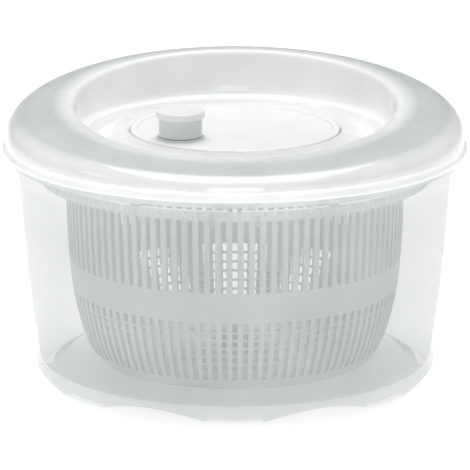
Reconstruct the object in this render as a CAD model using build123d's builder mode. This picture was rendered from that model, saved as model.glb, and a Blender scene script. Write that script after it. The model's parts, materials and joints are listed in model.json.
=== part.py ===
"""Crank-operated salad spinner: a bowl on moulded feet, a slotted basket on a centre pin, and a domed lid with a
crank disc, a fixed-carrier gear set and a drive plate that turns the basket.

Millimetres. +Z is up, the origin is on the resting plane under the centre of the bowl, and -Y is the front.
"""

import os
from math import acos, cos, pi, radians, sin, tan

from build123d import *

# Overall
WALL = 2.2
RIM_RADIUS = 130.0
RUN = 0.06  # radial running clearance of a shaft in its hole
GAP = 0.3  # clearance between pieces that move past each other

# Bowl
FOOT_INNER = 103.5
FOOT_OUTER = 108.5
FOOT_COUNT = 7
ARCH_HEIGHT = 6.0
ARCH_SPAN = 34.0  # degrees from foot to foot
FLOOR_UNDER = 6.0
BOWL_SIDE = [(112.2, 12.0), (114.2, 28.0), (117.1, 49.0), (119.1, 70.0), (120.8, 91.0), (121.8, 106.0)]
FLARE = [(123.3, 115.0), (127.8, 121.5)]
BOWL_TOP = 126.8
BOWL_LIP = 128.8
KEEPER_WIDTH = 2.6
KEEPER_SPACING = 24.8
KEEPER_FOOT = 114.2

# Centre pivot
PIN_RADIUS = 3.0
PIN_TOP = 20.0
PIN_BOSS = 7.0
PIN_BOSS_TOP = 9.1
BUSH_OUTER = 5.5
BUSH_BOTTOM = 9.5
HUB_RADIUS = 9.0
HUB_STRAIGHT = 14.0
HUB_TOP = 24.0
HUB_NECK = 6.6

# Basket
BASKET_FLOOR = 9.5
BASKET_FLOOR_RADIUS = 74.0
BASKET_SIDE = [(80.5, 14.5), (85.5, 25.7), (91.4, 52.0), (93.5, 74.6), (94.4, 96.5), (94.9, 112.0)]
SLOT_COUNT = 96
SLOT_WIDTH = 2.9
UPPER_SLOTS = (67.5, 108.5)
LOWER_SLOTS = (16.0, 50.5)
SHELF_BOTTOM = 112.0
SHELF_TOP = 113.8
COLLAR_INNER = 105.0
COLLAR_OUTER = 109.0
COLLAR_TOP = 117.3
NOTCH_COUNT = 12
NOTCH_WIDTH = 6.4
NOTCH_DEPTH = 3.2
DRAIN_ROWS = 7
DRAIN_PITCH = 8.0
DRAIN_RADIUS = 1.6

# Lid
SKIRT_OUTER = 124.9
SKIRT_BOTTOM = 123.2
HEM_BOTTOM = 127.1
DOME = [(126.4, 138.2), (120.4, 148.4), (111.0, 158.0), (98.0, 165.8), (80.0, 171.0)]
CREST = [(-150.0, 118.0), (-129.0, 133.6), (-120.0, 139.2), (-106.0, 142.0), (-84.0, 143.4), (0.0, 154.6),
         (88.0, 165.6), (150.0, 170.0)]
RECESS_TOP = 89.5
RECESS_FLOOR = 85.0
RECESS_OPEN = 175.0
PLATFORM = 139.0
TROUGH_RADIUS = 75.5
TROUGH_WIDTH = 14.0
TROUGH_DEPTH = 4.5
TROUGH_SPAN = 218.0
WELL_RADIUS = 59.2
WELL_TOP = 126.0
WELL_BOTTOM = WELL_TOP - WALL
PAD_WIDTH = 36.0
PAD_HEIGHT = 5.0
PAD_DEPTH = 4.0
ABOVE_LID = 200.0  # any height clear of the dome

# Gears: a ring on the crank, three planets on fixed pins and a sun on the output shaft
MODULE = 1.5
PRESSURE = radians(20)
RING_TEETH = 57
PLANET_TEETH = 21
SUN_TEETH = 15
PLANET_COUNT = 3
CENTRES = MODULE * (SUN_TEETH + PLANET_TEETH) / 2
BACKLASH = 0.12
GEAR_BOTTOM = 126.6
GEAR_TOP = 133.0
RING_OUTER = 49.0
PLANET_PIN = 2.5
PIN_SEAT = 1.4
PILLAR_RADIUS = 4.5
PILLAR_CIRCLE = 30.0
COVER_SCREW = 1.2
COVER_SCREW_LONG = 6.0
COVER_SCREW_HEAD = 2.8
COVER_SCREW_CONE = 1.6
COVER_BOTTOM = 133.6
COVER_TOP = 135.2
COVER_RADIUS = 38.5

# Crank
CRANK_RADIUS = 58.4
CRANK_BOTTOM = 135.5
CRANK_TOP = 139.5
INLAY_RADIUS = 54.4
INLAY_THICK = 1.2
POST_RADIUS = 6.0
POST_TOP = 136.8
CRANK_SCREW = 1.2
CRANK_SCREW_HEAD = 4.0
WASHER_RADIUS = 8.8
WASHER_THICK = 0.6
CRANK_SCREW_TOP = POST_TOP + 1.3
POCKET_RADIUS = 10.0
POCKET_FLOOR = 136.6
KNOB_CIRCLE = 40.2
KNOB_ANGLE = -138.4
KNOB_SPINDLE = 4.5
FLANGE_RADIUS = 13.2
FLANGE_TOP = 140.6
SLEEVE_RADIUS = 11.9
SLEEVE_TOP = 151.4
SPINDLE_TOP = 149.8
CAP_RADIUS = 13.4
CAP_TOP = 155.2
KNOB_SCREW = 1.5
KNOB_SCREW_LONG = 5.0
KNOB_SCREW_HEAD = 6.5

# Output
SHAFT_RADIUS = 4.0
SHAFT_BOTTOM = 113.0
SHAFT_TOP = 133.2
SHAFT_BUSH = 6.5
SHAFT_BUSH_FLANGE = 8.5
CLIP_BOTTOM = 121.2
CLIP_TOP = 122.2
CLIP_GROOVE = 3.2
CLIP_RADIUS = 7.0
DRIVE_SCREW = 1.5
DRIVE_SCREW_LONG = 6.0
DRIVE_SCREW_HEAD = 1.6
DRIVE_BOTTOM = 118.0
DRIVE_TOP = 120.0
DRIVE_ARMS = 6
DRIVE_RING = (97.0, 103.0)
DRIVE_DISC = 38.0
DRIVE_HUB = 12.0
ARM_START = 36.5
ARM_END = 98.5
ARM_WIDTH = 12.0
RIB_START = 10.0
RIB_END = 100.0
RIB_THICK = 2.0
LUG_START = 102.0
LUG_REACH = 107.6
LUG_WIDTH = 5.4
LUG_BOTTOM = 114.6

os.makedirs("parts", exist_ok=True)


def save(builder, name):
    """Labels a finished piece and writes it as its own STEP file."""
    builder.part.label = name
    export_step(builder.part, "parts/" + name + ".step")


def inset(points, by=WALL):
    """The same outline moved in towards the axis by one wall."""
    return [(radius - by, height) for radius, height in points]


def lathe(points, mode=Mode.ADD):
    """Turns a closed outline of (radius, height) points about the centre axis, inside the part being built."""
    with BuildSketch(Plane.XZ) as profile:
        with BuildLine():
            Polyline(*points, close=True)
        make_face()
    revolve(profile.sketch, axis=Axis.Z, mode=mode)


def tube(outer, inner, bottom, top, mode=Mode.ADD):
    """A plain ring between two heights, inside the part being built."""
    with BuildSketch(Plane.XY.offset(bottom)) as ring:
        Circle(outer)
        if inner:
            Circle(inner, mode=Mode.SUBTRACT)
    extrude(ring.sketch, amount=top - bottom, mode=mode)


def gear_outline(teeth, root, tip, widen):
    """Points of an involute gear with one tooth on +X. widen makes each tooth thicker at the pitch circle."""
    pitch = MODULE * teeth / 2
    base = pitch * cos(PRESSURE)
    foot = max(root, base)
    steps = 4

    def half_angle(radius):
        slope = acos(min(1.0, base / radius))
        return pi / 2 / teeth + widen / 2 / pitch + (tan(PRESSURE) - PRESSURE) - (tan(slope) - slope)

    flank = [foot + (tip - foot) * i / steps for i in range(steps + 1)]
    sides = [(root, half_angle(foot))] * (root < base) + [(r, half_angle(r)) for r in flank]
    points = []
    for tooth in range(teeth):
        middle = 2 * pi * tooth / teeth
        for r, a in sides:
            points.append((r * cos(middle - a), r * sin(middle - a)))
        for r, a in reversed(sides):
            points.append((r * cos(middle + a), r * sin(middle + a)))
    return points


def gear_sketch(teeth, root, tip, widen):
    """Adds the gear's outline to the sketch being drawn."""
    with BuildLine() as outline:
        Polyline(*gear_outline(teeth, root, tip, widen), close=True)
    make_face(outline.edges())


# Bowl: a frosted shell with a flared rim, two keeper ribs at the front and feet left between low arches
with BuildPart() as bowl:
    with BuildSketch(Plane.XZ):
        with BuildLine():
            base = Polyline((0, BOWL_TOP), (0, FLOOR_UNDER), (FOOT_INNER - 1.5, FLOOR_UNDER), (FOOT_INNER, 0),
                            (FOOT_OUTER, 0))
            heel = ThreePointArc(base @ 1, (111.4, 5.0), BOWL_SIDE[0])
            side = Spline(*BOWL_SIDE)
            flare = Polyline(side @ 1, *FLARE, (BOWL_LIP, BOWL_TOP), (0, BOWL_TOP))
        make_face()
    revolve(axis=Axis.Z)
    keeper_height = BOWL_TOP - 1.0 - KEEPER_FOOT
    with Locations((0, -(RIM_RADIUS - 0.7 + WALL) + 5.0, KEEPER_FOOT + keeper_height / 2)):
        with GridLocations(KEEPER_SPACING, 1, 2, 1):
            Box(KEEPER_WIDTH, 7.0, keeper_height)
    with BuildSketch(Plane.XZ):
        with BuildLine():
            floor = Line((0, FLOOR_UNDER + WALL), (FOOT_INNER + 1.5, FLOOR_UNDER + WALL))
            turn = ThreePointArc(floor @ 1, (108.7, 9.9), (110.2, 14.0))
            wall = Spline(turn @ 1, *inset(BOWL_SIDE[1:]))
            lip = Polyline(wall @ 1, *inset([(123.1, 116.4), (127.8, 122.9)]), (126.3, BOWL_TOP), (0, BOWL_TOP),
                           floor @ 0)
        make_face()
    revolve(axis=Axis.Z, mode=Mode.SUBTRACT)
    half_chord = FOOT_OUTER * sin(radians(ARCH_SPAN / 2))
    arch_radius = (half_chord**2 + ARCH_HEIGHT**2) / 2 / ARCH_HEIGHT
    with Locations((0, 0, ARCH_HEIGHT - arch_radius)):
        with PolarLocations(FOOT_OUTER, FOOT_COUNT, start_angle=-90 + 180 / FOOT_COUNT):
            Cylinder(arch_radius, 24, rotation=(0, 90, 0), mode=Mode.SUBTRACT)
    tube(PIN_BOSS, 0, FLOOR_UNDER, PIN_BOSS_TOP)
    tube(PIN_RADIUS, 0, FLOOR_UNDER + 1.0, PIN_BOSS_TOP, Mode.SUBTRACT)
save(bowl, "bowl")

with BuildPart() as pivot_pin:
    tube(PIN_RADIUS, 0, FLOOR_UNDER + 1.0, PIN_TOP)
    chamfer(pivot_pin.edges().group_by(Axis.Z)[-1], 0.6)
save(pivot_pin, "pivot_pin")

# Basket: a wall of upright bars in two tiers with a plain band between, and a collar that the drive lugs enter
with BuildPart() as basket:
    with BuildSketch(Plane.XZ):
        with BuildLine():
            under = Line((BASKET_FLOOR_RADIUS, BASKET_FLOOR), (BASKET_FLOOR_RADIUS + 2, BASKET_FLOOR))
            outer = Spline(under @ 1, *BASKET_SIDE)
            rim = Polyline(outer @ 1, (COLLAR_OUTER, SHELF_BOTTOM), (COLLAR_OUTER, COLLAR_TOP),
                           (COLLAR_INNER, COLLAR_TOP), (COLLAR_INNER, SHELF_TOP), (93.9, SHELF_TOP),
                           (BASKET_SIDE[-1][0] - WALL, SHELF_BOTTOM))
            inner = Spline(rim @ 1, *reversed(inset(BASKET_SIDE[:-1])), (BASKET_FLOOR_RADIUS, BASKET_FLOOR + WALL))
            Line(inner @ 1, under @ 0)
        make_face()
    revolve(axis=Axis.Z)
    for low, high in (UPPER_SLOTS, LOWER_SLOTS):
        with Locations((0, 0, (low + high) / 2)):
            with PolarLocations(86, SLOT_COUNT):
                Box(26, SLOT_WIDTH, high - low, mode=Mode.SUBTRACT)
    with Locations((0, 0, (SHELF_TOP + COLLAR_TOP) / 2)):
        with PolarLocations(COLLAR_INNER, NOTCH_COUNT):
            Box(2 * NOTCH_DEPTH, NOTCH_WIDTH, COLLAR_TOP - SHELF_TOP, mode=Mode.SUBTRACT)
save(basket, "basket")

with BuildPart() as basket_floor:
    tube(BASKET_FLOOR_RADIUS, 0, BASKET_FLOOR, BASKET_FLOOR + WALL)
    lathe([(0, BASKET_FLOOR), (HUB_RADIUS, BASKET_FLOOR), (HUB_RADIUS, HUB_STRAIGHT), (HUB_NECK, HUB_TOP - 2.0),
           (HUB_NECK - 2.0, HUB_TOP), (0, HUB_TOP)])
    tube(BUSH_OUTER, 0, BASKET_FLOOR, PIN_TOP + GAP, Mode.SUBTRACT)
    for row in range(DRAIN_ROWS):
        with Locations((0, 0, BASKET_FLOOR + WALL / 2)):
            with PolarLocations((row + 2) * DRAIN_PITCH, 6 * (row + 2)):
                Cylinder(DRAIN_RADIUS, 2 * WALL, mode=Mode.SUBTRACT)
save(basket_floor, "basket_floor")

with BuildPart() as basket_bush:
    tube(BUSH_OUTER, PIN_RADIUS + RUN, BUSH_BOTTOM, PIN_TOP)
save(basket_bush, "basket_bush")


def crest_side(drop):
    """Cuts away everything above the lid's crest surface, lowered by drop, from the part being built."""
    with BuildSketch(Plane.YZ) as above:
        with BuildLine():
            crest = Spline(*[(y, z - drop) for y, z in CREST])
            Polyline(crest @ 1, (CREST[-1][0], ABOVE_LID), (CREST[0][0], ABOVE_LID), crest @ 0)
        make_face()
    extrude(above.sketch, amount=2 * RIM_RADIUS, both=True, mode=Mode.SUBTRACT)


def recess(skin):
    """Cuts the lid's recess, trough and gear well, each larger by skin, from the part being built."""
    lathe([(0, PLATFORM - skin), (RECESS_FLOOR + skin, PLATFORM - skin), (RECESS_TOP + skin, RECESS_OPEN),
           (0, RECESS_OPEN)], Mode.SUBTRACT)
    trough = CenterArc((0, 0), TROUGH_RADIUS, 90 - TROUGH_SPAN / 2, TROUGH_SPAN, mode=Mode.PRIVATE)
    with BuildSketch(Plane.XY.offset(PLATFORM - TROUGH_DEPTH - skin)) as floor:
        SlotArc(trough, TROUGH_WIDTH + 2 * skin)
    extrude(floor.sketch, amount=TROUGH_DEPTH + 2 * skin, mode=Mode.SUBTRACT)
    tube(WELL_RADIUS + skin, 0, WELL_TOP - skin, PLATFORM + 1.0, Mode.SUBTRACT)


# Lid: a dome whose crest climbs to the back, around a recess with a finger trough and a well for the gears
with BuildPart() as lid_hollow:
    lathe([(0, SKIRT_BOTTOM), (SKIRT_OUTER - WALL, SKIRT_BOTTOM), (SKIRT_OUTER - WALL, HEM_BOTTOM + 0.6),
           (RIM_RADIUS - 4.4, 132.4), *inset([(r, z - 0.6) for r, z in DOME]), (0, DOME[-1][1] - WALL)])
    crest_side(WALL)
    recess(WALL)

with BuildPart() as lid_shell:
    with BuildSketch(Plane.XZ):
        with BuildLine():
            hem = Polyline((0, SKIRT_BOTTOM), (SKIRT_OUTER, SKIRT_BOTTOM), (SKIRT_OUTER, HEM_BOTTOM),
                           (RIM_RADIUS - 0.6, HEM_BOTTOM))
            bead = ThreePointArc(hem @ 1, (RIM_RADIUS, 129.0), (128.0, 132.6))
            dome = Spline(bead @ 1, *DOME)
            Polyline(dome @ 1, (0, DOME[-1][1]), (0, SKIRT_BOTTOM))
        make_face()
    revolve(axis=Axis.Z)
    crest_side(0)
    recess(0)
    add(lid_hollow.part, mode=Mode.SUBTRACT)
    with Locations((0, -(RIM_RADIUS - 0.2 - PAD_DEPTH / 2), HEM_BOTTOM + 1.2 + PAD_HEIGHT / 2)):
        Box(PAD_WIDTH, PAD_DEPTH, PAD_HEIGHT)
    with Locations((0, 0, (WELL_TOP + COVER_BOTTOM) / 2)):
        with PolarLocations(PILLAR_CIRCLE, PLANET_COUNT, start_angle=60):
            Cylinder(PILLAR_RADIUS, COVER_BOTTOM - WELL_TOP)
    with Locations((0, 0, COVER_BOTTOM)):
        with PolarLocations(PILLAR_CIRCLE, PLANET_COUNT, start_angle=60):
            Hole(COVER_SCREW, COVER_SCREW_LONG)
    with Locations((0, 0, WELL_TOP)):
        with PolarLocations(CENTRES, PLANET_COUNT):
            Hole(PLANET_PIN, PIN_SEAT)
    tube(SHAFT_BUSH, 0, WELL_BOTTOM - 1.0, WELL_TOP + 1.0, Mode.SUBTRACT)
save(lid_shell, "lid_shell")

with BuildPart() as shaft_bush:
    tube(SHAFT_BUSH, SHAFT_RADIUS + RUN, WELL_BOTTOM, WELL_TOP + 0.2)
    tube(SHAFT_BUSH_FLANGE, SHAFT_RADIUS + RUN, WELL_BOTTOM - 1.2, WELL_BOTTOM)
save(shaft_bush, "shaft_bush")

with BuildPart() as planet_pins:
    with Locations((0, 0, (WELL_TOP - PIN_SEAT + COVER_TOP) / 2)):
        with PolarLocations(CENTRES, PLANET_COUNT):
            Cylinder(PLANET_PIN, COVER_TOP - WELL_TOP + PIN_SEAT)
    chamfer(planet_pins.edges().group_by(Axis.Z)[-1], 0.4)
save(planet_pins, "planet_pins")

with BuildPart() as gear_cover:
    tube(COVER_RADIUS, 0, COVER_BOTTOM, COVER_TOP)
    tube(POST_RADIUS, 0, COVER_TOP, POST_TOP)
    tube(CRANK_SCREW, 0, COVER_BOTTOM, POST_TOP, Mode.SUBTRACT)
    with Locations((0, 0, COVER_TOP)):
        with PolarLocations(CENTRES, PLANET_COUNT):
            Hole(PLANET_PIN)
        with PolarLocations(PILLAR_CIRCLE, PLANET_COUNT, start_angle=60):
            CounterSinkHole(COVER_SCREW_CONE, COVER_SCREW_HEAD + 0.2, counter_sink_angle=90)
save(gear_cover, "gear_cover")

with BuildPart() as cover_screws:
    with Locations(Plane.XY.offset(COVER_TOP)):
        with PolarLocations(PILLAR_CIRCLE, PLANET_COUNT, start_angle=60):
            Cylinder(COVER_SCREW, COVER_SCREW_LONG, align=(Align.CENTER, Align.CENTER, Align.MAX))
            Cone(COVER_SCREW, COVER_SCREW_HEAD, COVER_SCREW_CONE, align=(Align.CENTER, Align.CENTER, Align.MAX))
save(cover_screws, "cover_screws")

with BuildPart() as crank_washer:
    tube(WASHER_RADIUS, CRANK_SCREW + 0.1, POST_TOP, POST_TOP + WASHER_THICK)
save(crank_washer, "crank_washer")

with BuildPart() as crank_screw:
    tube(CRANK_SCREW_HEAD, 0, POST_TOP + WASHER_THICK, CRANK_SCREW_TOP)
    tube(CRANK_SCREW, 0, COVER_BOTTOM + 0.4, POST_TOP + WASHER_THICK)
    with BuildSketch(Plane.XY.offset(CRANK_SCREW_TOP)):
        RectangleRounded(0.9 * CRANK_SCREW_HEAD, 0.8, 0.3)
        RectangleRounded(0.8, 0.9 * CRANK_SCREW_HEAD, 0.3)
    extrude(amount=-0.5, mode=Mode.SUBTRACT)
save(crank_screw, "crank_screw")

# Gear train
for index in range(PLANET_COUNT):
    pitch_radius = MODULE * PLANET_TEETH / 2
    with BuildPart() as planet:
        with BuildSketch(Plane.XY.offset(GEAR_BOTTOM)):
            gear_sketch(PLANET_TEETH, pitch_radius - 1.25 * MODULE, pitch_radius + 0.95 * MODULE, -BACKLASH)
            Circle(PLANET_PIN + RUN, mode=Mode.SUBTRACT)
        extrude(amount=GEAR_TOP - GEAR_BOTTOM)
    turn_to = 360 / PLANET_COUNT * index
    planet.part = Rot(0, 0, turn_to) * Pos(CENTRES, 0, 0) * planet.part
    planet.part.label = f"planet_gear_{index + 1}"
    export_step(planet.part, f"parts/planet_gear_{index + 1}.step")

with BuildPart() as sun_gear:
    sun_radius = MODULE * SUN_TEETH / 2
    with BuildSketch(Plane.XY.offset(GEAR_BOTTOM)):
        gear_sketch(SUN_TEETH, sun_radius - 1.25 * MODULE, sun_radius + 0.95 * MODULE, -BACKLASH)
        Circle(SHAFT_RADIUS, mode=Mode.SUBTRACT)
    extrude(amount=GEAR_TOP - GEAR_BOTTOM)
save(sun_gear, "sun_gear")

with BuildPart() as ring_gear:
    ring_pitch = MODULE * RING_TEETH / 2
    tube(RING_OUTER, 0, GEAR_BOTTOM, CRANK_BOTTOM)
    with BuildSketch(Plane.XY.offset(GEAR_BOTTOM)):
        gear_sketch(RING_TEETH, ring_pitch - 0.95 * MODULE, ring_pitch + 1.25 * MODULE, BACKLASH)
    extrude(amount=CRANK_BOTTOM - GEAR_BOTTOM, mode=Mode.SUBTRACT)
save(ring_gear, "ring_gear")

# Crank: a disc with a decorative inlay and a free-turning knob on a fixed spindle
knob_x = KNOB_CIRCLE * cos(radians(KNOB_ANGLE))
knob_y = KNOB_CIRCLE * sin(radians(KNOB_ANGLE))

with BuildPart() as crank_disc:
    tube(CRANK_RADIUS, 0, CRANK_BOTTOM, CRANK_TOP)
    fillet(crank_disc.edges().group_by(Axis.Z)[-1], 0.8)
    tube(INLAY_RADIUS, 0, CRANK_TOP - INLAY_THICK, CRANK_TOP, Mode.SUBTRACT)
    tube(POCKET_RADIUS, 0, POCKET_FLOOR, CRANK_TOP, Mode.SUBTRACT)
    tube(POST_RADIUS + RUN, 0, CRANK_BOTTOM, CRANK_TOP, Mode.SUBTRACT)
    with Locations((knob_x, knob_y, CRANK_TOP)):
        Hole(KNOB_SPINDLE)
save(crank_disc, "crank_disc")

with BuildPart() as crank_inlay:
    tube(INLAY_RADIUS - 0.15, 0, CRANK_TOP - INLAY_THICK, CRANK_TOP)
    fillet(crank_inlay.edges().group_by(Axis.Z)[-1], 0.35)
    with Locations((knob_x, knob_y, CRANK_TOP)):
        Hole(KNOB_SPINDLE)
save(crank_inlay, "crank_inlay")


def knob_tube(outer, inner, bottom, top, mode=Mode.ADD):
    """A ring about the knob's own axis, inside the part being built."""
    with BuildSketch(Plane((knob_x, knob_y, bottom))) as ring:
        Circle(outer)
        if inner:
            Circle(inner, mode=Mode.SUBTRACT)
    extrude(ring.sketch, amount=top - bottom, mode=mode)


with BuildPart() as knob_spindle:
    knob_tube(KNOB_SPINDLE, 0, CRANK_BOTTOM, SPINDLE_TOP)
    knob_tube(FLANGE_RADIUS, 0, CRANK_TOP, FLANGE_TOP)
    fillet(knob_spindle.faces().sort_by(Axis.Z)[-2].outer_wire().edges(), 0.4)
    knob_tube(KNOB_SCREW, 0, SPINDLE_TOP - KNOB_SCREW_LONG, SPINDLE_TOP, Mode.SUBTRACT)
save(knob_spindle, "knob_spindle")

with BuildPart() as knob_screw:
    knob_tube(KNOB_SCREW_HEAD, 0, SPINDLE_TOP, SPINDLE_TOP + 0.8)
    knob_tube(KNOB_SCREW, 0, SPINDLE_TOP - KNOB_SCREW_LONG, SPINDLE_TOP)
save(knob_screw, "knob_screw")

with BuildPart() as knob_sleeve:
    knob_tube(SLEEVE_RADIUS, 0, FLANGE_TOP + GAP, SLEEVE_TOP)
    knob_tube(KNOB_SPINDLE + RUN, 0, FLANGE_TOP + GAP, SPINDLE_TOP - GAP, Mode.SUBTRACT)
    knob_tube(KNOB_SCREW_HEAD + 0.7, 0, SPINDLE_TOP - GAP, SLEEVE_TOP, Mode.SUBTRACT)
save(knob_sleeve, "knob_sleeve")

with BuildPart() as knob_cap:
    knob_tube(CAP_RADIUS, 0, SLEEVE_TOP, CAP_TOP)
    fillet(knob_cap.edges().group_by(Axis.Z)[-1], 1.2)
    fillet(knob_cap.edges().group_by(Axis.Z)[0], 0.4)
save(knob_cap, "knob_cap")

# Output: a shaft held by a clip, and a spoked plate whose lugs drop into the basket's collar
with BuildPart() as output_shaft:
    tube(SHAFT_RADIUS, 0, SHAFT_BOTTOM, SHAFT_TOP)
    tube(SHAFT_RADIUS, CLIP_GROOVE, CLIP_BOTTOM, CLIP_TOP, Mode.SUBTRACT)
    tube(DRIVE_SCREW, 0, SHAFT_BOTTOM, SHAFT_BOTTOM + DRIVE_SCREW_LONG, Mode.SUBTRACT)
save(output_shaft, "output_shaft")

with BuildPart() as shaft_clip:
    tube(CLIP_RADIUS, CLIP_GROOVE, CLIP_BOTTOM, CLIP_TOP)
    with Locations((CLIP_RADIUS - 1.5, 0, (CLIP_BOTTOM + CLIP_TOP) / 2)):
        Box(6.0, CLIP_GROOVE, 2.0, mode=Mode.SUBTRACT)
save(shaft_clip, "shaft_clip")

with BuildPart() as drive_plate:
    tube(DRIVE_RING[1], DRIVE_RING[0], DRIVE_BOTTOM, DRIVE_TOP)
    tube(DRIVE_DISC, 0, DRIVE_BOTTOM, DRIVE_TOP)
    with Locations((0, 0, (DRIVE_BOTTOM + DRIVE_TOP) / 2)):
        with PolarLocations((ARM_START + ARM_END) / 2, DRIVE_ARMS):
            Box(ARM_END - ARM_START, ARM_WIDTH, DRIVE_TOP - DRIVE_BOTTOM)
    with Locations((0, 0, (LUG_BOTTOM + DRIVE_BOTTOM) / 2)):
        with PolarLocations((RIB_START + RIB_END) / 2, DRIVE_ARMS):
            Box(RIB_END - RIB_START, RIB_THICK, DRIVE_BOTTOM - LUG_BOTTOM)
    with Locations((0, 0, (LUG_BOTTOM + DRIVE_TOP) / 2)):
        with PolarLocations((LUG_START + LUG_REACH) / 2, DRIVE_ARMS):
            Box(LUG_REACH - LUG_START, LUG_WIDTH, DRIVE_TOP - LUG_BOTTOM)
    tube(DRIVE_HUB, 0, SHAFT_BOTTOM, DRIVE_TOP + 1.0)
    tube(SHAFT_RADIUS, 0, SHAFT_BOTTOM, DRIVE_TOP + 1.0, Mode.SUBTRACT)
save(drive_plate, "drive_plate")

with BuildPart() as drive_screw:
    tube(6.0, 0, SHAFT_BOTTOM - DRIVE_SCREW_HEAD, SHAFT_BOTTOM)
    tube(DRIVE_SCREW, 0, SHAFT_BOTTOM, SHAFT_BOTTOM + DRIVE_SCREW_LONG)
    with BuildSketch(Plane.XY.offset(SHAFT_BOTTOM - DRIVE_SCREW_HEAD)):
        RectangleRounded(5.0, 1.0, 0.4)
        RectangleRounded(1.0, 5.0, 0.4)
    extrude(amount=DRIVE_SCREW_HEAD / 2, mode=Mode.SUBTRACT)
save(drive_screw, "drive_screw")
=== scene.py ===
"""Looks of the crank-turned salad spinner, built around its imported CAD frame.

Metres, +Z up, -Y is the front. Sizes are written in millimetres and turned to metres by MM.
"""

import json
from math import atan2, cos, pi, radians, sin

import bpy
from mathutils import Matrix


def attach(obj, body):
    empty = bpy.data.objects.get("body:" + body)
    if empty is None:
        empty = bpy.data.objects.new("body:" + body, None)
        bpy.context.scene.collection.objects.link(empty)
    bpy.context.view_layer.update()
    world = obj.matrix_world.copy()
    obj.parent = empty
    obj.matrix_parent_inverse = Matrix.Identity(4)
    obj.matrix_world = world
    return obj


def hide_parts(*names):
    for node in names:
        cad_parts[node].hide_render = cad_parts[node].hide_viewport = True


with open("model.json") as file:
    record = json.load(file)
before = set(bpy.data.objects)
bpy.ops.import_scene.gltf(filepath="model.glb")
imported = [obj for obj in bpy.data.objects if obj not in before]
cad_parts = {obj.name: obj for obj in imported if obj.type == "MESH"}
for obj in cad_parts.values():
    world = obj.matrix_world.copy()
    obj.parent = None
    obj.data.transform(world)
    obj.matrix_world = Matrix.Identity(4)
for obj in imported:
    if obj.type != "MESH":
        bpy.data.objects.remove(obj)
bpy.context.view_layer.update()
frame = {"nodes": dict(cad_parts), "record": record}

MM = 0.001

# Lid, in millimetres from the axis and from the resting plane
SKIRT_RADIUS = 124.9
SKIRT_BOTTOM = 123.2
HEM_RADIUS = 130.0
HEM_BOTTOM = 127.1
DOME_START = (128.1, 132.6)
DOME_SQUARENESS = 0.74
CREST_RADIUS = 92.0
CREST_MIDDLE = 154.6
CREST_RISE = 11.3
CREST_BEND = 0.8
CREST_ROLL = 2.6
DOME_STEPS = 18
ROLL_STEPS = 5
WALL_STEPS = 8
FLOOR_STEPS = 16
WALL_FOOT = 85.5
PLATFORM = 139.0
TROUGH_MIDDLE = 75.5
TROUGH_HALF = 7.6
TROUGH_DEPTH = 5.5
TROUGH_SPAN = 109.0
TROUGH_EASE = 13.0
WELL_RADIUS = 58.8
WELL_FLOOR = 126.0
SHAFT_HOLE = 6.5
LID_WALL = 2.0
PILLAR_CIRCLE = 30.0
PILLAR_RADIUS = 4.5
PILLAR_HEIGHT = 7.6
PAD_HALF_WIDTH = 18.0
PAD_PROUD = 1.5
PAD_EDGE = 2.0
PAD_LOW = HEM_BOTTOM + 2.5
PAD_HIGH = DOME_START[1] + 2.4
PAD_INNER = HEM_RADIUS - 4.0
AROUND = 192

# Basket
COLLAR_RADIUS = 108.9
COLLAR_MIDDLE = 114.7
BUMP_COUNT = 96
BUMP_RADIUS = 1.9
BUMP_SHAPE = (0.62, 1.0, 1.25)
HOOP_HEIGHTS = range(20, 50, 5)
HOOP_BASE_RADIUS = 80.6
HOOP_SLOPE = 0.36
HOOP_THICK = 1.0

# Keeper at the front of the bowl's rim
KEEPER_WIDTH = 22.4
KEEPER_DEPTH = 2.0
KEEPER_THICK = 1.1
KEEPER_RADIUS = 128.1
KEEPER_HEIGHT = 123.6

# Grain of the mouldings
DRIFT_SIZE = 38.0
PATCH_SIZE = 9.0
GRAIN_RELIEF = 0.12
SHEEN_SPREAD = 0.05
RING_PITCH = 2.5
BLEED_DEPTH = 6.0

# Camera, in metres
CAMERA_BACK = 2.4
CAMERA_UP = 0.676
CAMERA_PITCH = 14.0
FOCAL_LENGTH = 337.6


def linear(text):
    """A hex sRGB colour such as "C9CCCB" as linear RGBA."""
    parts = [int(text[i : i + 2], 16) / 255 for i in (0, 2, 4)]
    return (*[p / 12.92 if p <= 0.04045 else ((p + 0.055) / 1.055) ** 2.4 for p in parts], 1.0)


def node(tree, kind, settings=None, values=None, links=None):
    """Adds a node, sets its properties and input values, links its inputs and returns it."""
    made = tree.nodes.new(kind)
    for key, value in (settings or {}).items():
        setattr(made, key, value)
    for key, value in (values or {}).items():
        made.inputs[key].default_value = value
    for key, socket in (links or {}).items():
        tree.links.new(socket, made.inputs[key])
    return made


def ramp(tree, factor, low, high):
    """A colour ramp between two RGBA values, over the middle of the factor's range."""
    made = node(tree, "ShaderNodeValToRGB", links={"Fac": factor})
    first, last = made.color_ramp.elements
    first.position, first.color = 0.35, low
    last.position, last.color = 0.65, high
    return made.outputs["Color"]


def grey(value):
    """A grey RGBA, for a ramp that gives a roughness or a height."""
    return (value, value, value, 1.0)


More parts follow.
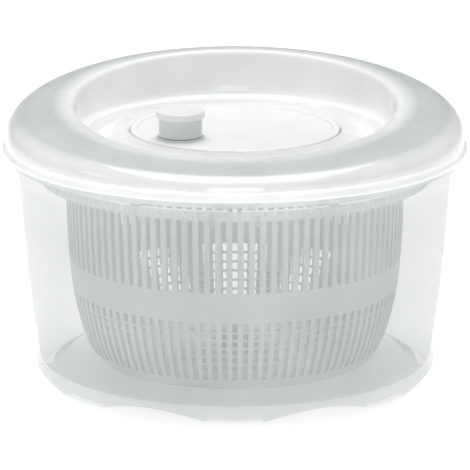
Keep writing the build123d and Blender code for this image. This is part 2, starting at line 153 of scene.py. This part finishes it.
def painted_slope_shade(tree, place):
    """A painted shade from the distance to the axis: darkens the lid's outer slope between the crest and the
    bead, so the crest and the bead stand out light.
    """
    flat = node(tree, "ShaderNodeVectorMath", {"operation": "MULTIPLY"}, {1: (1.0, 1.0, 0.0)}, {0: place})
    radius = node(tree, "ShaderNodeVectorMath", {"operation": "LENGTH"}, links={0: flat.outputs["Vector"]})
    share = node(tree, "ShaderNodeMath", {"operation": "DIVIDE"}, {1: HEM_RADIUS * MM},
                 {0: radius.outputs["Value"]})
    tone = node(tree, "ShaderNodeValToRGB", links={"Fac": share.outputs["Value"]})
    stops = tone.color_ramp.elements
    # painted shade: white inside the crest, grey from just outside it out to the bead, white again at the bead
    stops[0].position, stops[0].color = 0.70, linear("FFFFFF")
    stops[1].position, stops[1].color = 0.79, linear("CDD0D1")
    for position, colour in ((0.92, "D3D6D6"), (0.975, "FFFFFF")):
        stops.new(position).color = linear(colour)
    return tone.outputs["Color"]


def plastic(name, light, dark, rough, grain, lift, values, slope=False):
    """A moulded plastic: a tone that drifts between two colours, a patchy sheen and a fine grain.

    grain is the grain's size in mm, lift its strength, and slope paints shade on the lid's outer slope.
    """
    made = bpy.data.materials.new(name)
    made.use_nodes = True
    tree = made.node_tree
    tree.nodes.clear()
    place = node(tree, "ShaderNodeTexCoord").outputs["Object"]
    drift, patch, speck = [
        node(tree, "ShaderNodeTexNoise", None, {"Scale": 1 / (size * MM), "Detail": detail}, {"Vector": place})
        for size, detail in ((DRIFT_SIZE, 3.0), (PATCH_SIZE, 4.0), (grain, 2.0))]
    bump = node(tree, "ShaderNodeBump", values={"Strength": lift, "Distance": GRAIN_RELIEF * MM},
                links={"Height": speck.outputs["Fac"]})
    colour = ramp(tree, drift.outputs["Fac"], linear(dark), linear(light))
    if slope:
        blend = node(tree, "ShaderNodeMix", {"data_type": "RGBA", "blend_type": "MULTIPLY"}, {"Factor": 1.0},
                     {"A": colour, "B": painted_slope_shade(tree, place)})
        colour = blend.outputs["Result"]
    shader = node(tree, "ShaderNodeBsdfPrincipled", values=values, links={
        "Base Color": colour,
        "Roughness": ramp(tree, patch.outputs["Fac"], grey(rough - SHEEN_SPREAD),
                          grey(rough + SHEEN_SPREAD)),
        "Normal": bump.outputs["Normal"]})
    node(tree, "ShaderNodeOutputMaterial", links={"Surface": shader.outputs["BSDF"]})
    return made


def frosted_polypropylene():
    """Polypropylene from a spark-eroded mould: milky, so what is inside shows softened, with a fine grain."""
    return plastic("frosted_polypropylene_moulded", "DADEDD", "CDD2D1", 0.36, 0.9, 0.35,
                   {"IOR": 1.49, "Alpha": 0.25, "Specular IOR Level": 0.55})


def clear_lid_plastic():
    """Milky polypropylene from a polished mould: glossier than the bowl, and light bleeds through it; its colour
    carries a painted shade on the outer slope.
    """
    return plastic("milky_polypropylene_polished", "FBFCFB", "F0F2F1", 0.20, 1.6, 0.10,
                   {"IOR": 1.50, "Alpha": 0.84, "Coat Weight": 0.35, "Coat Roughness": 0.08,
                    "Subsurface Weight": 0.7, "Subsurface Radius": (1.0, 1.0, 1.0),
                    "Subsurface Scale": BLEED_DEPTH * MM}, slope=True)


def basket_polypropylene():
    """Light grey polypropylene, moulded: satin and opaque, so the bars read darker than the gaps."""
    return plastic("basket_polypropylene_moulded", "E3E6E6", "D8DCDC", 0.42, 1.2, 0.25, {"IOR": 1.49})


def white_abs():
    """White ABS with a fine moulded texture: satin, a little warm."""
    return plastic("white_abs_textured", "F2F3F0", "ECEDEA", 0.38, 0.8, 0.30, {"IOR": 1.53})


def grey_abs():
    """Pale grey ABS, moulded: satin, cool and even."""
    return plastic("grey_abs_moulded", "DEE2E1", "D3D8D7", 0.36, 0.8, 0.25, {"IOR": 1.53})


def acetal():
    """Natural acetal, moulded: smooth, waxy and faintly yellow."""
    return plastic("acetal_moulded", "EEEDE4", "E4E2D6", 0.30, 1.0, 0.15, {"IOR": 1.48})


def turned_steel():
    """Stainless steel turned on a lathe: fine rings that stretch the highlight."""
    made = bpy.data.materials.new("stainless_steel_turned")
    made.use_nodes = True
    tree = made.node_tree
    tree.nodes.clear()
    place = node(tree, "ShaderNodeTexCoord").outputs["Object"]
    rings = node(tree, "ShaderNodeTexWave", {"wave_type": "RINGS", "rings_direction": "Z"},
                 {"Scale": 1 / (RING_PITCH * MM), "Distortion": 1.2}, {"Vector": place})
    bump = node(tree, "ShaderNodeBump", values={"Strength": 0.2, "Distance": 0.05 * MM},
                links={"Height": rings.outputs["Fac"]})
    shader = node(tree, "ShaderNodeBsdfPrincipled", values={"Metallic": 1.0}, links={
        "Base Color": ramp(tree, rings.outputs["Fac"], linear("A9ABAD"), linear("C3C5C6")),
        "Roughness": ramp(tree, rings.outputs["Fac"], grey(0.24), grey(0.34)),
        "Normal": bump.outputs["Normal"]})
    node(tree, "ShaderNodeOutputMaterial", links={"Surface": shader.outputs["BSDF"]})
    return made


FINISHES = {
    "frosted_polypropylene": frosted_polypropylene(),
    "clear_lid_plastic": clear_lid_plastic(),
    "basket_polypropylene": basket_polypropylene(),
    "white_abs": white_abs(),
    "grey_abs": grey_abs(),
    "acetal": acetal(),
    "stainless_steel": turned_steel(),
}


def finish_cad_nodes():
    """Gives every CAD node the finish of its record slot."""
    for part in frame["record"]["subparts"]:
        piece = frame["nodes"][part["node"]]
        for place in piece.material_slots:
            place.material = FINISHES[part["material_slot"]]


def new_piece(name, slot, body):
    """Names the active object, settles its place into its mesh, gives it its finish and lets it ride its body."""
    piece = bpy.context.object
    piece.name = name
    piece.data.name = name
    bpy.ops.object.transform_apply(location=True, rotation=True, scale=True)
    piece.data.materials.clear()
    piece.data.materials.append(FINISHES[slot])
    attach(piece, body)
    return piece


def edit_all():
    """Enters edit mode on the active object with all of it selected."""
    bpy.ops.object.mode_set(mode="EDIT")
    bpy.ops.mesh.select_all(action="SELECT")


def ease(value):
    """A smooth step from 0 to 1 as value goes from 0 to 1."""
    value = min(1.0, max(0.0, value))
    return value * value * (3 - 2 * value)


def crest_height(turn):
    """The crest's height at that angle from +X: low at the front, high at the back."""
    return CREST_MIDDLE + CREST_RISE * sin(turn) - CREST_BEND * sin(turn) ** 2


def trough_share(turn):
    """1 where the finger trough runs at full depth round the back, easing to 0 at its ends."""
    off_back = abs((turn - pi / 2 + pi) % (2 * pi) - pi) * 180 / pi
    return ease((TROUGH_SPAN - off_back) / TROUGH_EASE)


def lid_section(turn):
    """The lid's skin at one angle, from the hem in to the shaft hole, as (radius, height) in millimetres."""
    crest = crest_height(turn)
    start, base = DOME_START
    points = [(SKIRT_RADIUS, SKIRT_BOTTOM), (SKIRT_RADIUS, HEM_BOTTOM), (HEM_RADIUS - 0.8, HEM_BOTTOM),
              (HEM_RADIUS - 0.1, HEM_BOTTOM + 0.7), (HEM_RADIUS, HEM_BOTTOM + 2.0),
              (HEM_RADIUS - 0.4, HEM_BOTTOM + 3.4), (HEM_RADIUS - 1.4, HEM_BOTTOM + 4.4),
              (HEM_RADIUS - 2.6, HEM_BOTTOM + 4.9)]
    for step in range(DOME_STEPS + 1):
        angle = pi / 2 * step / DOME_STEPS
        out = cos(angle) ** DOME_SQUARENESS if step < DOME_STEPS else 0.0
        up = sin(angle) ** DOME_SQUARENESS
        points.append((CREST_RADIUS + (start - CREST_RADIUS) * out, base + (crest - base) * up))
    for step in range(1, ROLL_STEPS + 1):
        angle = pi / 2 * step / ROLL_STEPS
        points.append((CREST_RADIUS - CREST_ROLL * sin(angle), crest - CREST_ROLL * (1 - cos(angle))))
    top = (CREST_RADIUS - CREST_ROLL, crest - CREST_ROLL)
    foot = (WALL_FOOT, PLATFORM)
    for step in range(1, WALL_STEPS + 1):
        share = step / WALL_STEPS
        bow = share * (2 - share)
        points.append((top[0] + (foot[0] - top[0]) * share**2, top[1] + (foot[1] - top[1]) * bow))
    inner_edge = WELL_RADIUS + 1.4
    for step in range(1, FLOOR_STEPS + 1):
        radius = WALL_FOOT + (inner_edge - WALL_FOOT) * step / FLOOR_STEPS
        across = abs(radius - TROUGH_MIDDLE) / TROUGH_HALF
        dip = TROUGH_DEPTH * trough_share(turn) * ease((1.0 - across) * 2.2)
        points.append((radius, PLATFORM - dip))
    points += [(WELL_RADIUS + 0.5, PLATFORM - 0.3), (WELL_RADIUS + 0.1, PLATFORM - 1.2),
               (WELL_RADIUS, WELL_FLOOR + 1.0), (WELL_RADIUS - 1.0, WELL_FLOOR), (WELL_RADIUS / 2, WELL_FLOOR),
               (SHAFT_HOLE, WELL_FLOOR)]
    return points


def lid():
    """The lid's skin: a grid wrapped round the axis along its section, a pad at the front, then its wall."""
    bpy.ops.object.select_all(action="DESELECT")
    bpy.ops.mesh.primitive_grid_add(x_subdivisions=AROUND, y_subdivisions=len(lid_section(0.0)) - 1, size=1.0)
    piece = bpy.context.object
    rows = len(lid_section(0.0))
    sections = [lid_section(2 * pi * column / AROUND) for column in range(AROUND + 1)]
    for vertex in piece.data.vertices:
        column = round((vertex.co.x + 0.5) * AROUND)
        row = round((vertex.co.y + 0.5) * (rows - 1))
        turn = 2 * pi * column / AROUND
        radius, height = sections[column][row]
        vertex.co = (radius * cos(turn) * MM, radius * sin(turn) * MM, height * MM)
    for vertex in piece.data.vertices:
        across = abs(vertex.co.x) / MM
        height = vertex.co.z / MM
        if vertex.co.y < 0 and PAD_LOW < height < PAD_HIGH and across < PAD_HALF_WIDTH:
            radius = (vertex.co.x**2 + vertex.co.y**2) ** 0.5 / MM
            if radius > PAD_INNER:
                proud = min(HEM_RADIUS - radius, PAD_PROUD) * ease((PAD_HALF_WIDTH - across) / PAD_EDGE)
                turn = atan2(vertex.co.y, vertex.co.x)
                vertex.co.x += proud * cos(turn) * MM
                vertex.co.y += proud * sin(turn) * MM
    edit_all()
    bpy.ops.mesh.remove_doubles(threshold=0.02 * MM)
    bpy.ops.mesh.normals_make_consistent(inside=False)
    bpy.ops.object.mode_set(mode="OBJECT")
    wall = piece.modifiers.new("wall", "SOLIDIFY")
    wall.thickness = LID_WALL * MM
    wall.offset = -1
    wall.use_even_offset = True
    bpy.ops.object.modifier_apply(modifier="wall")
    bpy.ops.object.shade_smooth_by_angle(angle=radians(40))
    made = new_piece("lid_dome", "clear_lid_plastic", "lid")
    made.visible_shadow = False
    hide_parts("lid_shell")
    return made


def gear_pillars():
    """The three posts in the lid's well that carry the gear cover."""
    bpy.ops.object.select_all(action="DESELECT")
    bpy.ops.mesh.primitive_cylinder_add(vertices=32, radius=PILLAR_RADIUS * MM, depth=PILLAR_HEIGHT * MM,
                                        location=(PILLAR_CIRCLE * MM, 0, (WELL_FLOOR + PILLAR_HEIGHT / 2) * MM))
    bpy.ops.object.transform_apply(location=True, rotation=True, scale=True)
    edit_all()
    bpy.ops.transform.rotate(value=-pi / 3, orient_axis="Z", center_override=(0, 0, 0))
    bpy.ops.mesh.bevel(offset=0.3 * MM, segments=2, affect="EDGES")
    bpy.ops.mesh.select_all(action="SELECT")
    bpy.ops.mesh.spin(steps=3, dupli=True, angle=2 * pi, center=(0, 0, 0), axis=(0, 0, 1))
    bpy.ops.mesh.select_all(action="SELECT")
    bpy.ops.mesh.remove_doubles(threshold=0.01 * MM)
    bpy.ops.mesh.normals_make_consistent(inside=False)
    bpy.ops.object.mode_set(mode="OBJECT")
    bpy.ops.object.shade_smooth_by_angle(angle=radians(40))
    return new_piece("gear_pillars", "clear_lid_plastic", "lid")


def basket_bumps():
    """The row of soft round bumps outside the basket's collar: one bump, spun round as copies."""
    bpy.ops.object.select_all(action="DESELECT")
    bpy.ops.mesh.primitive_uv_sphere_add(segments=10, ring_count=8, radius=BUMP_RADIUS * MM,
                                         location=(COLLAR_RADIUS * MM, 0, COLLAR_MIDDLE * MM))
    piece = bpy.context.object
    piece.scale = BUMP_SHAPE
    bpy.ops.object.transform_apply(location=True, rotation=True, scale=True)
    edit_all()
    bpy.ops.mesh.spin(steps=BUMP_COUNT, dupli=True, angle=2 * pi, center=(0, 0, 0), axis=(0, 0, 1))
    bpy.ops.mesh.select_all(action="SELECT")
    bpy.ops.mesh.remove_doubles(threshold=0.01 * MM)
    bpy.ops.mesh.normals_make_consistent(inside=False)
    bpy.ops.object.mode_set(mode="OBJECT")
    bpy.ops.object.shade_smooth()
    return new_piece("basket_collar_bumps", "basket_polypropylene", "basket")


def basket_hoop(height):
    """One flat hoop that crosses the bars of the basket's lower tier."""
    radius = HOOP_BASE_RADIUS + HOOP_SLOPE * (height - HOOP_HEIGHTS[0])
    bpy.ops.object.select_all(action="DESELECT")
    bpy.ops.mesh.primitive_torus_add(major_segments=96, minor_segments=8, major_radius=radius * MM,
                                     minor_radius=HOOP_THICK * MM, location=(0, 0, height * MM))
    piece = bpy.context.object
    piece.scale = (1.0, 1.0, 0.8)
    bpy.ops.object.shade_smooth()
    return new_piece(f"basket_hoop_{height}", "basket_polypropylene", "basket")


def keeper_bar():
    """The lip that joins the two keeper ribs at the front of the bowl's rim."""
    bpy.ops.object.select_all(action="DESELECT")
    bpy.ops.mesh.primitive_cube_add(size=1.0, location=(0, -KEEPER_RADIUS * MM, KEEPER_HEIGHT * MM))
    piece = bpy.context.object
    piece.scale = (KEEPER_WIDTH * MM, KEEPER_DEPTH * MM, KEEPER_THICK * MM)
    bpy.ops.object.transform_apply(location=True, rotation=True, scale=True)
    edit_all()
    bpy.ops.mesh.bevel(offset=0.35 * MM, segments=3, affect="EDGES")
    bpy.ops.object.mode_set(mode="OBJECT")
    bpy.ops.object.shade_smooth_by_angle(angle=radians(40))
    return new_piece("keeper_bar", "frosted_polypropylene", "bowl")


def stage():
    """A pale floor that glows a little, soft boxes above, in front and at the left, and an even surround."""
    bpy.ops.object.select_all(action="DESELECT")
    bpy.ops.mesh.primitive_plane_add(size=14.0, location=(0, 2.0, 0))
    floor = bpy.context.object
    floor.name = "floor"
    paint = bpy.data.materials.new("floor_paint")
    paint.use_nodes = True
    shader = paint.node_tree.nodes["Principled BSDF"]
    shader.inputs["Base Color"].default_value = linear("FAFAFA")
    shader.inputs["Roughness"].default_value = 0.9
    shader.inputs["Emission Color"].default_value = linear("FFFFFF")
    shader.inputs["Emission Strength"].default_value = 0.42
    floor.data.materials.append(paint)
    world = bpy.data.worlds.new("studio")
    world.use_nodes = True
    world.node_tree.nodes["Background"].inputs["Color"].default_value = linear("F4F6F7")
    world.node_tree.nodes["Background"].inputs["Strength"].default_value = 0.38
    bpy.context.scene.world = world
    soft_box("top_box", (0.0, 0.3, 1.5), (0.0, 0.0, 0.1), 1.1, 17.0)
    soft_box("front_box", (0.1, -2.1, 0.9), (0.0, 0.0, 0.1), 1.0, 7.0)
    soft_box("left_box", (-1.5, -0.5, 0.9), (0.0, 0.0, 0.1), 0.5, 2.0)


def soft_box(name, place, target, size, power):
    """A square area light at place, turned to face target."""
    data = bpy.data.lights.new(name, "AREA")
    data.shape = "SQUARE"
    data.size = size
    data.energy = power
    lamp = bpy.data.objects.new(name, data)
    lamp.location = place
    away = [t - p for t, p in zip(target, place)]
    flat = (away[0] ** 2 + away[1] ** 2) ** 0.5
    lamp.rotation_euler = (pi / 2 + atan2(away[2], flat), 0.0, atan2(away[1], away[0]) - pi / 2)
    bpy.context.scene.collection.objects.link(lamp)


def camera():
    """A long lens in front of the object, a little above it."""
    data = bpy.data.cameras.new("camera")
    data.lens = FOCAL_LENGTH
    data.sensor_width = 36.0
    data.clip_end = 30.0
    eye = bpy.data.objects.new("camera", data)
    eye.location = (0.0, -CAMERA_BACK, CAMERA_UP)
    eye.rotation_euler = (radians(90 - CAMERA_PITCH), 0.0, 0.0)
    bpy.context.scene.collection.objects.link(eye)
    bpy.context.scene.camera = eye
    bpy.context.scene.view_settings.view_transform = "Standard"


finish_cad_nodes()
lid()
gear_pillars()
basket_bumps()
for hoop_height in HOOP_HEIGHTS:
    basket_hoop(hoop_height)
keeper_bar()
stage()
camera()
